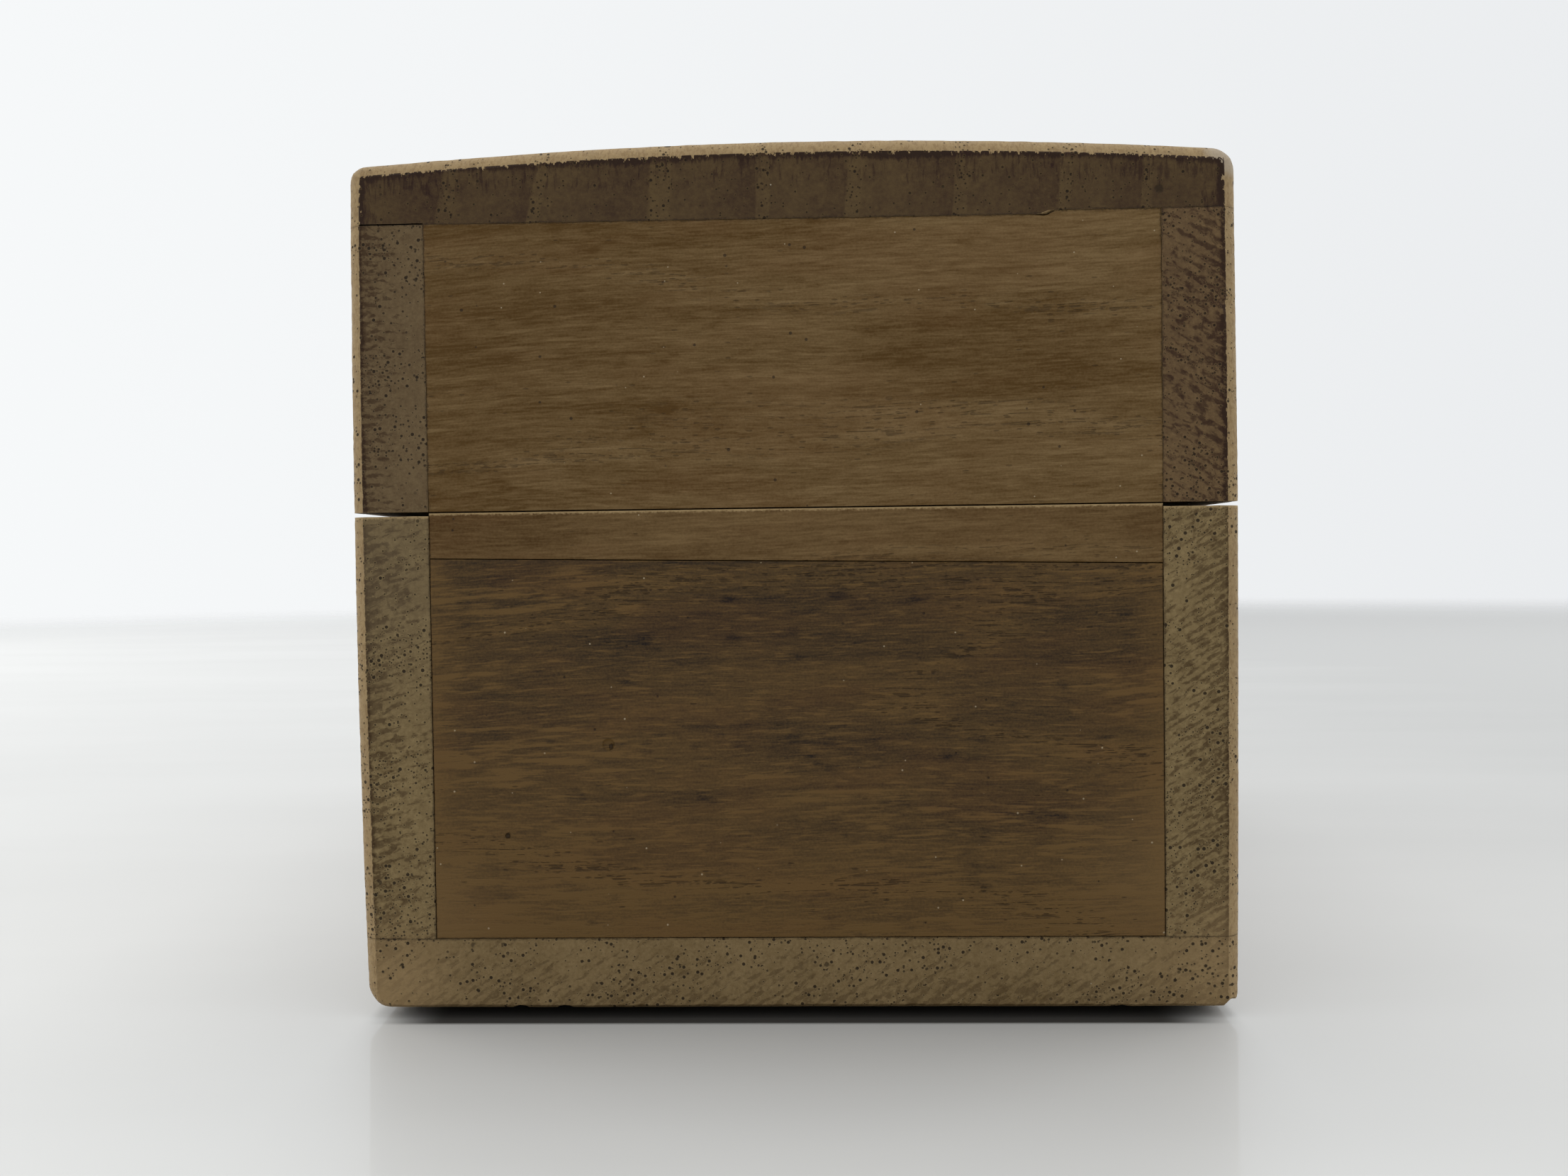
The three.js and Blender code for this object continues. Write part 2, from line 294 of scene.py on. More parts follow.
def stations_along():
    """The places of a board's rings from front to back: which end a ring belongs to (-1 or 1, or 0
    between them), and its Y, or at an end its share of the worn edge's width and depth."""
    fine_from = HALF_LENGTH - BOARD_FINE_REACH
    near_end = np.arange(fine_from, HALF_LENGTH - 1.5 * ARRIS_DEPTH, BOARD_FINE_STEP)
    between = np.arange(BOARD_STEP - fine_from, fine_from - BOARD_STEP / 2, BOARD_STEP)
    front = [(-1, shares) for shares in EDGE_PROFILE]
    along = [(0, y) for y in [*(-near_end[::-1]), *between, *near_end]]
    return front + along + [(1, shares) for shares in reversed(EDGE_PROFILE)]


def outer_board(node, body, material, depth, inner, extra=(), chips=(), foot=0.0, stepped=False):
    """A board of one of the two shells, which runs the length of the box and shows end grain. Below
    the height foot it is relieved towards its ends, and stepped follows the seam under the top board."""
    flat, outer, follow, facing = section(depth, inner)
    count = len(flat)
    stations = stations_along()
    rings = []
    for number, (end, value) in enumerate(stations):
        y = np.full(count, end * HALF_LENGTH if end else value)
        here = np.stack([flat[:, 0], y, flat[:, 1]], 1)
        bite = BITE * (jag(here) + ripple(here))
        inset = np.zeros(count)
        if end:
            across, deep = value
            width = arris_width(flat, outer, extra if end < 0 else ()) + bite
            depth_share = (arris_width(flat, outer, ()) + bite) / ARRIS_SIDE
            inset = width * (1 - across) * follow
            step_back = 0.01 * MM * min(number, len(stations) - 1 - number)
            y -= end * (ARRIS_DEPTH * deep * follow * depth_share + step_back)
        off_outline = outer * (inset + follow * WARP * (1.5 + warp(here)))[:, None]
        off_joints = facing * (SEAM + 0.007 * MM * (1 + jag(here)))[:, None]
        at = flat - off_outline - off_joints
        if stepped:
            under = (flat[:, 1] < at[:, 1].min() + 0.2 * MM) & (y < -HALF_LENGTH + 6 * MM)
            at[:, 1] -= np.where(under, seam_drop(flat[:, 0]), 0)
        if foot:
            rise = np.clip((np.abs(y) - FOOT_LENGTH / 2) / (HALF_LENGTH - FOOT_LENGTH / 2), 0, 1)
            at[:, 1] += END_RELIEF * rise**2 * (1 - np.clip(at[:, 1] / foot, 0, 1))
        rings.append(np.stack([at[:, 0], y, at[:, 1]], 1))
    points = np.concatenate(rings)
    for centre, radius in chips:
        scoop(points, centre, radius)
    piece = make_object(node + "_wood", body, material, points, wall(len(rings), count))
    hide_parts(node)
    return piece


def lines_between(low, high, step, fine_at):
    """Grid lines with a plain spacing, and close together round each of the given places."""
    lines = list(np.linspace(low, high, max(2, round((high - low) / step) + 1)))
    for place in fine_at:
        lines += list(np.arange(place - PANEL_FINE_REACH, place + PANEL_FINE_REACH, PANEL_FINE_STEP))
    lines = sorted(x for x in lines if low <= x <= high)
    kept = [lines[0]]
    for x in lines[1:]:
        if x - kept[-1] > 0.6 * PANEL_FINE_STEP:
            kept.append(x)
    kept[-1] = high
    return np.array(kept)


def panel_grid(low, high, tilted, dents, sags):
    """The points of a panel's face in X and Z, in rows from its lower edge to its upper one."""
    xs = lines_between(low.x + SEAM, high.x - SEAM, PANEL_STEP, [d[0] for d in dents])
    zs = lines_between(0, 1, PANEL_STEP / (high.z - low.z), [])
    if dents:
        zs = lines_between(low.z, high.z, PANEL_STEP, [d[1] for d in dents])
        zs = (zs - low.z) / (high.z - low.z)
    across, up = np.meshgrid(xs, zs)
    share = (across - low.x) / (high.x - low.x)
    bottom = low.z + SEAM + (RAIL_TILT * (1 - share) if tilted == "bottom" else 0)
    top = high.z + (DRAWER_FILLS - RAIL_TILT * share if tilted == "top" else -SEAM)
    if sags:
        top = top - seam_drop(across) - splinter(across)
    return across, bottom + up * (top - bottom)


def grid_faces(index):
    """Quads between the neighbouring rows of a grid of point numbers."""
    faces = []
    for lower, upper in zip(index, index[1:]):
        faces += np.stack([lower[:-1], lower[1:], upper[1:], upper[:-1]], 1).tolist()
    return faces


# How far in and how deep each ring of a panel's eased edge is, as shares of the easing
PANEL_EDGE_PROFILE = [(0.35, 0.25), (0.08, 0.6), (0, 1)]


def end_panel(node, body, material, edge, tilted="", dents=()):
    """A panel let in at one end of the box: a finely meshed face that can hold dents, with eased edges
    that are a little ragged, and a plain back. Its tilted edge, top or bottom, is higher at its left."""
    low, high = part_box(node)
    end = -1 if low.y < 0 else 1
    face_y = (low.y if end < 0 else high.y) - end * PANEL_SET_BACK
    back_y = high.y if end < 0 else low.y
    if tilted == "top":
        low.x -= DRAWER_FILLS
        low.z -= DRAWER_FILLS
        high.x += DRAWER_FILLS
    under_top_board = end < 0 and high.z > LID_SEAM - MM
    across, up = panel_grid(low, high, tilted, dents, under_top_board)
    flat = np.stack([across.ravel(), up.ravel()], 1)
    index = np.arange(across.size).reshape(across.shape)
    # The boundary, anticlockwise as seen from the front
    rim = np.concatenate([index[0, :], index[1:, -1], index[-1, -2::-1], index[-2:0:-1, 0]])
    centre = np.array([(low.x + high.x) / 2, (low.z + high.z) / 2])
    half = np.array([(high.x - low.x) / 2, (high.z - low.z) / 2])
    face = np.stack([flat[:, 0], np.full(len(flat), face_y), flat[:, 1]], 1)
    ragged = 0.022 * MM * (1 + jag(face))
    # The face shrinks a little towards its middle, by the easing of its edges
    shrink = 1 - (edge + ragged)[:, None] / half
    eased = centre + (flat - centre) * shrink
    grain_wave = WARP * warp(face * [1, 1, 3]) + 0.008 * MM * ripple(face * [0.15, 1, 2])
    face = np.stack([eased[:, 0], face[:, 1] - end * grain_wave, eased[:, 1]], 1)
    for x, z, radius, deep in dents:
        scoop(face, (x, face_y + end * (radius - deep), z), radius)
    rings = []
    for share, drop in PANEL_EDGE_PROFILE:
        at = centre + (flat[rim] - centre) * (1 - share * (edge + ragged[rim])[:, None] / half)
        rings.append(np.stack([at[:, 0], face[rim, 1] - end * drop * edge, at[:, 1]], 1))
    rings.append(np.stack([flat[rim, 0], np.full(len(rim), back_y), flat[rim, 1]], 1))
    points = np.concatenate([face, *rings])
    faces = grid_faces(index)
    around = np.arange(len(rim))
    after = (around + 1) % len(rim)
    previous = rim
    for k in range(len(rings)):
        this = len(face) + k * len(rim) + around
        faces += np.stack([previous[after], previous, this, this[after]], 1).tolist()
        previous = this
    faces.append(previous[::-1].tolist())
    if end > 0:
        faces = [f[::-1] for f in faces]
    piece = make_object(node + "_wood", body, material, points, faces)
    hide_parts(node)
    return piece


def bore(piece, centre, radius, length):
    """Cuts a round blind hole along Y into a finished piece."""
    count = 48
    angle = np.linspace(0, 2 * math.pi, count, endpoint=False)
    ring = np.stack([radius * np.cos(angle), np.zeros(count), radius * np.sin(angle)], 1)
    points = np.concatenate([ring + [0, -length / 2, 0], ring + [0, length / 2, 0]]) + np.array(centre)
    mesh = bpy.data.meshes.new("cutter")
    mesh.from_pydata(points.tolist(), [], wall(2, count))
    cutter = bpy.data.objects.new("cutter", mesh)
    bpy.context.scene.collection.objects.link(cutter)
    cut = piece.modifiers.new("bore", "BOOLEAN")
    cut.operation = "DIFFERENCE"
    cut.object = cutter
    bpy.context.view_layer.update()
    evaluated = piece.evaluated_get(bpy.context.evaluated_depsgraph_get())
    done = bpy.data.meshes.new_from_object(evaluated)
    piece.modifiers.clear()
    piece.data = done
    bpy.data.objects.remove(cutter)


# ---------------------------------------------------------------- materials


def srgb(red, green, blue):
    """A colour as a screen shows it, 0 to 255, in the linear form that shaders take."""
    shown = [c / 255 for c in (red, green, blue)]
    return (*[c / 12.92 if c <= 0.04045 else ((c + 0.055) / 1.055) ** 2.4 for c in shown], 1)


SHEEN_SEEN = 0.011  # what the wood's faint sheen adds to its colour in the studio's light
LIGHT_ON_FRONT = 0.82
DARKEST = 0.002  # least part of a colour that the wood has

# Tones that the woods share, as a screen shows them
PORE = srgb(28, 19, 10)
PIT = srgb(28, 18, 10)
PORE_LINE = srgb(24, 15, 8)
# Dark joint lines: dirt in the glued joints and painted shade of the crevices between boards
SEAM_DIRT_AND_SHADE = srgb(34, 22, 12)
SEAM_DARK_REACH = 0.17  # millimetres either side of a joint
DARK_BAR = srgb(50, 33, 18)
DARK_BAND = srgb(42, 26, 12)
REDDISH = srgb(96, 58, 30)
# Pale worn wood; along the top edges of the rail and the case sides it is also a painted highlight
WORN_AND_HIGHLIGHT = srgb(162, 138, 99)
WORN_RIB = srgb(112, 86, 54)
# Pale grey of the front top right corner: rubbed wear and a painted highlight
CORNER_RUB_AND_HIGHLIGHT = srgb(168, 157, 142)
END_DUST = srgb(190, 180, 160)
PANEL_DUST = srgb(176, 160, 132)


def seen(red, green, blue):
    """The colour of wood that shows as this one, 0 to 255, on the front of the box in the studio."""
    wanted = srgb(red, green, blue)[:3]
    return (*[max(DARKEST, (c - SHEEN_SEEN) / LIGHT_ON_FRONT) for c in wanted], 1)


class Finish:
    """Builds one material. Inputs are numbers, tuples or other nodes' outputs, lengths in millimetres."""

    def __init__(self, name, shift=0.0):
        self.material = bpy.data.materials.new(name)
        self.material.use_nodes = True
        self.tree = self.material.node_tree
        self.surface = self.tree.nodes["Principled BSDF"]
        coordinates = self.node("ShaderNodeTexCoord")
        self.place = self.vector("MULTIPLY", coordinates.outputs["Object"], (1000, 1000, 1000))
        self.x, self.y, self.z = self.parts(self.place)
        self.facing = [self.absolute(c) for c in self.parts(coordinates.outputs["Normal"])]
        self.moved = self.vector("ADD", self.place, (shift, 1.7 * shift, 0.6 * shift))

    def node(self, kind, inputs=(), **settings):
        """A new node with its settings made and its inputs fed."""
        made = self.tree.nodes.new(kind)
        for name, value in settings.items():
            setattr(made, name, value)
        for key, value in dict(inputs).items():
            self.feed(made.inputs[key], value)
        return made

    def feed(self, socket, value):
        """Links another node's output to an input, or sets the input to a plain value."""
        if isinstance(value, bpy.types.NodeSocket):
            self.tree.links.new(value, socket)
        else:
            socket.default_value = value

    def math(self, operation, a, b=0.0, clamp=False):
        made = self.node("ShaderNodeMath", {0: a, 1: b}, operation=operation, use_clamp=clamp)
        return made.outputs[0]

    def less(self, a, b):
        return self.math("SUBTRACT", a, b)

    def over(self, a, b):
        return self.math("DIVIDE", a, b)

    def absolute(self, value):
        return self.math("ABSOLUTE", value)

    def clamped(self, value):
        return self.math("ADD", value, 0.0, clamp=True)

    def vector(self, operation, a, b):
        return self.node("ShaderNodeVectorMath", {0: a, 1: b}, operation=operation).outputs[0]

    def parts(self, value):
        return self.node("ShaderNodeSeparateXYZ", {0: value}).outputs[:]

    def turned(self, degrees):
        """The place, turned about the Y axis."""
        settings = {"Vector": self.moved, "Angle": math.radians(degrees)}
        return self.node("ShaderNodeVectorRotate", settings, rotation_type="Y_AXIS").outputs[0]

    def noise(self, scale, detail=3.0, roughness=0.55, distortion=0.0, place=None):
        """Cloudy noise; scale is how many clouds there are per millimetre along X, Y and Z."""
        where = self.vector("MULTIPLY", place or self.moved, scale)
        settings = {"Detail": detail, "Roughness": roughness, "Distortion": distortion}
        made = self.node("ShaderNodeTexNoise", {"Vector": where, "Scale": 1.0, **settings})
        return made.outputs["Fac"]

    def dots(self, scale, size, share):
        """Round spots, one in some of the cells of a random grid: size is a spot's radius in cells.
        Returns the spots and the rings round them, which frame_wood paints pale on end grain as a painted
        highlight."""
        where = self.vector("MULTIPLY", self.moved, scale)
        cells = self.node("ShaderNodeTexVoronoi", {"Vector": where, "Scale": 1.0})
        chance = self.parts(cells.outputs["Color"])
        kept = self.step(chance[0], self.less(1.0, share), 0.02)
        radius = self.math("ADD", self.math("MULTIPLY", chance[1], 0.6 * size), 0.6 * size)
        inward = self.less(radius, cells.outputs["Distance"])
        spot = self.step(inward, 0.0, 0.3 * size)
        rim = self.step(inward, -0.75 * size, 0.45 * size)
        return self.math("MULTIPLY", spot, kept), self.math("MULTIPLY", rim, kept)

    def lines(self, scale, width, detail=2.0, roughness=0.5):
        """Thin wandering lines, drawn out the way that the scale is small."""
        wander = self.less(self.noise(scale, detail, roughness), 0.5)
        return self.step(self.absolute(wander), width, -width)

    def step(self, value, edge, soft):
        """0 below an edge and 1 above it, with a soft change over twice soft. A negative soft turns it."""
        low = self.less(edge, soft)
        high = self.math("ADD", edge, soft)
        limits = {"Value": value, "From Min": low, "From Max": high}
        made = self.node("ShaderNodeMapRange", limits, interpolation_type="SMOOTHSTEP")
        return made.outputs["Result"]

    def mix(self, share, a, b):
        """Colour a where the share is 0 and colour b where it is 1."""
        made = self.node("ShaderNodeMix", data_type="RGBA")
        for index, value in ((0, share), (6, a), (7, b)):
            self.feed(made.inputs[index], value)
        return made.outputs[2]

    def plus(self, start, *terms):
        """start plus each value times its weight."""
        result = start
        for value, weight in terms:
            result = self.math("ADD", result, self.math("MULTIPLY", value, weight))
        return result

    def total(self, start, *terms):
        """start plus each value times its weight, measured from that value's middle, 0.5."""
        return self.plus(start, *[(self.less(value, 0.5), weight) for value, weight in terms])

    def chain(self, operation, values):
        """Works through the values from the first, two at a time."""
        result = values[0]
        for value in values[1:]:
            result = self.math(operation, result, value)
        return result

    def most(self, *values):
        return self.chain("MAXIMUM", values)

    def least(self, *values):
        return self.chain("MINIMUM", values)

    def product(self, *values):
        return self.chain("MULTIPLY", values)

    def seam_dirt_and_shade(self, seams, reach):
        """Dark jagged lines along glued joints, each given as an axis and a place on it: dirt in the joints
        and painted shade of the crevices.
        """
        crumbs = self.noise((2.2, 0.5, 2.2), 3, 0.7)
        jagged = self.total(0.0, (self.noise((5.0, 0.5, 5.0), 2, 0.6), 0.4))
        broken = self.step(self.noise((0.7, 0.3, 0.7), 2), 0.46, 0.08)
        dirt_and_shade = 0.0
        for axis, place in seams:
            across = {"x": self.x, "z": self.z}[axis]
            if axis == "z" and place == LID_SEAM / MM:
                across = self.math("ADD", across, self.sag())
            away = self.absolute(self.math("ADD", self.less(across, place), jagged))
            line = self.step(away, self.math("MULTIPLY", crumbs, reach), -0.5 * reach)
            dirt_and_shade = self.most(dirt_and_shade, line)
        return self.product(dirt_and_shade, self.plus(0.35, (broken, 0.65)))

    def sag(self):
        """The drop of the seam under the top board, as seam_drop has it."""
        start, run = SAG_FROM / MM, (STEP_AT - SAG_FROM) / MM
        share = self.clamped(self.over(self.less(self.x, start), run))
        half = STEP_WIDTH / MM / 2
        low = self.step(self.x, STEP_AT / MM - half, -half)
        return self.product(low, self.plus(SAG_LEAST / MM, (share, SAG_MORE / MM)))

    def away_from(self, x, z):
        """The distance from a line along Y, in millimetres."""
        offset = self.vector("MULTIPLY", self.vector("SUBTRACT", self.place, (x, 0, z)), (1, 0, 1))
        return self.node("ShaderNodeVectorMath", {0: offset}, operation="LENGTH").outputs["Value"]

    def stained(self, colour, stains):
        """Soft round patches of another tone, each given as X, Z, reach, its tone and its strength."""
        for x, z, reach, tone, strength in stains:
            share = self.step(self.away_from(x, z), 0.55 * reach, -0.55 * reach)
            colour = self.mix(self.product(share, strength), colour, tone)
        return colour

    def marks(self, places):
        """Dark round spots, each given as X, Z and a radius, in millimetres."""
        spots = 0.0
        for x, z, radius in places:
            away = self.total(self.away_from(x, z), (self.noise((3.0, 0.3, 3.0), 2), 0.5))
            spots = self.most(spots, self.step(away, radius, -0.35 * radius))
        return spots

    def finish(self, colour, roughness, height, depth_mm, specular=0.15):
        """Feeds the surface and returns the material. height is bump, from 0 to 1 over depth_mm."""
        self.feed(self.surface.inputs["Base Color"], colour)
        self.feed(self.surface.inputs["Roughness"], roughness)
        self.surface.inputs["Specular IOR Level"].default_value = specular
        bump = self.node("ShaderNodeBump", {"Height": height, "Strength": 1.0, "Distance": depth_mm * MM})
        self.tree.links.new(bump.outputs["Normal"], self.surface.inputs["Normal"])
        return self.material


def inside_arris(f):
    """How far a point on an end is inside the worn edges round it, in millimetres."""
    half_width, height = HALF_WIDTH / MM, HEIGHT / MM
    up = f.over(f.less(f.z, height / 2), height / 2)
    squared = f.product(up, up)
    share = f.over(f.z, height)
    left = f.plus(f.x, (squared, -SIDE_BULGE / MM), (f.product(share, share), LEAN_LEFT / MM))
    flatter = f.less(1.0, squared)
    right = f.plus(f.product(f.x, -1.0), (squared, -SIDE_BULGE / MM), (flatter, -FLATTER_RIGHT / MM))
    side = f.math("ADD", f.least(left, right), half_width - ARRIS_SIDE / MM)
    across = f.over(f.x, half_width)
    crown = f.product(across, across, CROWN / MM)
    top = f.less(f.less(height, crown), f.z)
    top = f.less(top, ARRIS_TOP / MM)
    bottom = f.less(f.z, END_RELIEF / MM)
    return f.least(side, top, bottom)


def dark_bars(f, inner, broad, bumpy, bars):
    """Wavy dark bars that fade inwards. Returns them, the waves that they are cut from, and the place
    turned to lie along them. For bars see frame_wood."""
    turn, across, along, reach, _ = bars
    turned = f.turned(turn)
    waves = f.noise((across, 0.05, along), 3.0, 0.6, 0.5, turned)
    swing = f.total(0.0, (f.noise((0.35, 0.05, 0.35), 2), 7.0), (bumpy, 2.5))
    phase = f.math("ADD", f.product(f.parts(turned)[2], 1.15 * along * math.pi), swing)
    ripples = f.plus(0.5, (f.math("SINE", phase), 0.5))
    waves = f.total(waves, (ripples, 0.13))
    fading = f.total(f.over(inner, reach), (broad, 1.6))
    return f.step(waves, f.plus(0.47, (fading, 0.09)), 0.085), waves, turned


def growth_rings(f, spacing, lean):
    """Pale stripes of early wood. Returns them, what is beside them, and the dark wood before each."""
    bent = f.total(f.plus(f.x, (f.z, lean)), (f.noise((0.05, 0.01, 0.02), 1), 12.0))
    ring = f.math("FRACT", f.over(f.math("ADD", bent, 100.0), spacing))
    stripe = f.step(f.absolute(f.less(ring, 0.5)), 0.43, 0.015)
    beside = f.less(1.0, stripe)
    before = f.product(f.math("POWER", f.step(ring, 0.45, 0.5), 3.0), beside)
    return stripe, beside, before


def end_grain(f, inner, fine, colours, bars, edge, pores, rings, marks, stains):
    """Clouds, wavy dark bars, a dark ragged band next to the worn edge, and round pores. Returns the
    colour, the holes, the rings round them for a painted highlight, the bars and the clouds."""
    width, strength, _ = edge
    broad = f.noise((0.10, 0.02, 0.10), 2)
    cloud = f.noise((0.6, 0.05, 0.6), 3, 0.6, 0.5)
    bumpy = f.noise((1.6, 0.1, 1.6), 2, 0.6)
    bar, waves, turned = dark_bars(f, inner, broad, bumpy, bars)
    uneven = f.noise((0.13, 0.02, 0.13), 2)
    ragged = f.total(inner, (waves, -1.6 * width), (fine, -0.9), (uneven, -2.6 * width))
    band = f.step(ragged, width, -0.6 * width)
    lift = f.total(0.68, (broad, 0.45), (cloud, 0.5), (bumpy, 0.5), (fine, 0.8))
    lift = f.plus(lift, (bar, -bars[-1]), (band, -strength))
    if rings:
        stripe, beside, before = growth_rings(f, *rings)
        band = f.product(band, f.plus(0.25, (beside, 0.75)))
        lift = f.plus(lift, (stripe, 0.15), (before, -0.20))
        dense = f.plus(0.0, (stripe, 1.5))
    else:
        dense = f.step(f.noise((0.09, 0.02, 0.24), 2, 0.5, 0.0, turned), 0.51, 0.05)
    colour = f.mix(f.clamped(lift), *colours)
    colour = f.mix(f.product(bar, 0.30), colour, DARK_BAR)
    colour = f.mix(f.product(band, 1.3 * strength), colour, DARK_BAND)
    colour = f.stained(colour, stains)
    large, large_highlit_rim = f.dots((1.8, 0.08, 1.8), 0.22, f.plus(0.03 * pores, (dense, 0.50 * pores)))
    small, small_highlit_rim = f.dots((3.0, 0.1, 3.0), 0.24, f.plus(0.16 * pores, (dense, 0.45 * pores)))
    spots = f.product(f.marks(marks), 0.7) if marks else 0.0
    holes = f.most(large, f.product(small, 0.85), spots)
    return colour, holes, f.most(large_highlit_rim, small_highlit_rim), bar, cloud


def long_grain(f, fine, cloud, colours):
    """Streaks along Y, worn pale at the box's ends and long edges. Returns the colour, how much of the
    worn end it is, and the fibres."""
    streak = f.noise((0.5, 0.016, 0.5), 4, 0.6, 0.25)
    fibre = f.noise((4.5, 0.12, 4.5), 3, 0.6)
    wide = f.noise((0.08, 0.012, 0.08), 2)
    lift = f.total(0.5, (streak, 0.9), (fibre, 0.6), (wide, 0.7))
    colour = f.mix(f.clamped(lift), *colours)
    rounded = f.product(f.step(f.facing[0], 0.12, 0.08), f.step(f.facing[2], 0.12, 0.08))
    at_end = f.step(f.absolute(f.y), HALF_LENGTH / MM - 1.2, 0.25)
    worn = f.product(f.most(at_end, f.product(rounded, 0.6)), f.total(0.85, (cloud, 0.8), (fine, 0.8)))
    colour = f.mix(f.clamped(f.product(worn, 0.75)), colour, WORN_AND_HIGHLIGHT)
    ribs = f.step(f.noise((4.5, 1.2, 2.0), 2, 0.6), 0.55, 0.08)
    colour = f.mix(f.product(ribs, at_end, 0.4), colour, WORN_RIB)
    # A pale grey patch painted at the front top right corner: rubbed wear and a painted highlight
    corner = f.away_from(HALF_WIDTH / MM - 1.2, HEIGHT / MM - 2.2)
    front = f.step(f.y, -HALF_LENGTH / MM + 3.0, -1.5)
    rubbed = f.product(f.step(f.total(corner, (cloud, 1.5)), 1.6, -0.5), front)
    return f.mix(f.product(rubbed, 0.55), colour, CORNER_RUB_AND_HIGHLIGHT), at_end, fibre


def frame_wood(
    name, shift, end, side, bars, edge, pores, seams, rings=None, worn_and_highlit_top=None, marks=(), stains=()
):
    """Elm-like wood along Y. end and side are (dark, light) colours of end grain and of the other faces.
    bars is (turn, per millimetre across, per millimetre along, how far they reach in, strength) of the
    wavy dark bars on end grain, and edge is (width, strength, teeth) of the dark band next to the worn
    edge and of the nicks by which the worn edge bites into it.
    rings is (spacing, lean) of the pale pored growth rings, and the top height is where a pale line is
    painted along the edge, as worn wood and as a painted highlight."""
    f = Finish(name, shift)
    inner = inside_arris(f)
    fine = f.noise((3.4, 0.3, 3.4), 3, 0.7)
    teeth = edge[-1]
    nicks = f.total(0.0, (f.noise((3.6, 0.3, 2.0), 2, 0.6), 3.4 * teeth), (fine, 1.2 * teeth))
    nicks = f.most(nicks, 0.0)
    on_end = f.step(f.less(inner, nicks), 0.0, 0.04)
    on_end = f.product(on_end, f.step(f.facing[1], 0.62, 0.06))

    grain = end_grain(f, inner, fine, end, bars, edge, pores, rings, marks, stains)
    end_colour, holes, highlit_pore_rims, bar, cloud = grain
    side_colour, at_end, fibre = long_grain(f, fine, cloud, side)
    colour = f.mix(on_end, side_colour, end_colour)
    # Painted highlight: the rings round the pores on end grain are painted in the pale end colour, as lit
    # rims
    colour = f.mix(f.product(highlit_pore_rims, on_end, 0.45), colour, end[1])
    to_end = f.most(on_end, at_end)
    colour = f.mix(f.product(holes, f.plus(0.35, (to_end, 0.55))), colour, PORE)
    # Dark joint lines, dirt and painted shade of the crevices, stronger on end grain
    dirt_and_shade = f.product(f.seam_dirt_and_shade(seams, SEAM_DARK_REACH), f.plus(0.3, (on_end, 0.35)))
    colour = f.mix(dirt_and_shade, colour, SEAM_DIRT_AND_SHADE)
    # A pale line painted along the top edge: worn wood and a painted highlight
    if worn_and_highlit_top:
        near_top = f.math("ADD", f.z, f.total(0.0, (fine, 0.5)))
        colour = f.mix(f.product(f.step(near_top, worn_and_highlit_top - 0.18, 0.12), 0.7), colour, WORN_AND_HIGHLIGHT)
    dust = f.product(f.dots((0.42, 0.42, 0.42), 0.025, 0.5)[0], on_end, 0.6)
    colour = f.mix(dust, colour, END_DUST)
    roughness = f.total(0.60, (fine, 0.25), (cloud, 0.15), (holes, 0.2))
    height = f.plus(0.0, (holes, -1.0), (highlit_pore_rims, 0.15), (bar, -0.25), (fine, 0.5), (fibre, 0.3))
    return f.finish(colour, roughness, height, 0.07)


def near_seams(f, seams, streak):
    """1 along the glued joints, fading out unevenly with the streaks."""
    away = 1000.0
    for axis, place in seams:
        across = {"x": f.x, "z": f.z}[axis]
        away = f.least(away, f.absolute(f.less(across, place)))
    return f.step(f.total(away, (streak, 5.0)), 1.4, -1.6)


def pale_streaks(f):
    """Short pale lines along X, closer in some places than in others."""
    where = f.noise((0.05, 0.3, 0.22), 2)
    pale = f.step(f.noise((0.19, 1.0, 2.1), 2.5, 0.55), f.total(0.62, (where, -0.55)), 0.075)
    thin = f.step(f.noise((0.40, 1.0, 4.2), 2, 0.5), 0.62, 0.06)
    return f.most(pale, f.product(thin, 0.7))


def pore_lines_in(f, bands):
    """Short dark pore lines along X: rows of them in the bands, and single ones in and near them."""
    dashes = f.step(f.noise((0.9, 1.0, 2.0), 2, 0.6), 0.50, 0.05)
    thread = f.lines((0.07, 0.5, 1.6), 0.020, 2, 0.5)
    row = f.product(bands, dashes, thread)
    short, _ = f.dots((1.1, 2.4, 5.0), 0.27, f.plus(0.02, (bands, 0.3)))
    return f.most(row, f.product(short, 0.8))


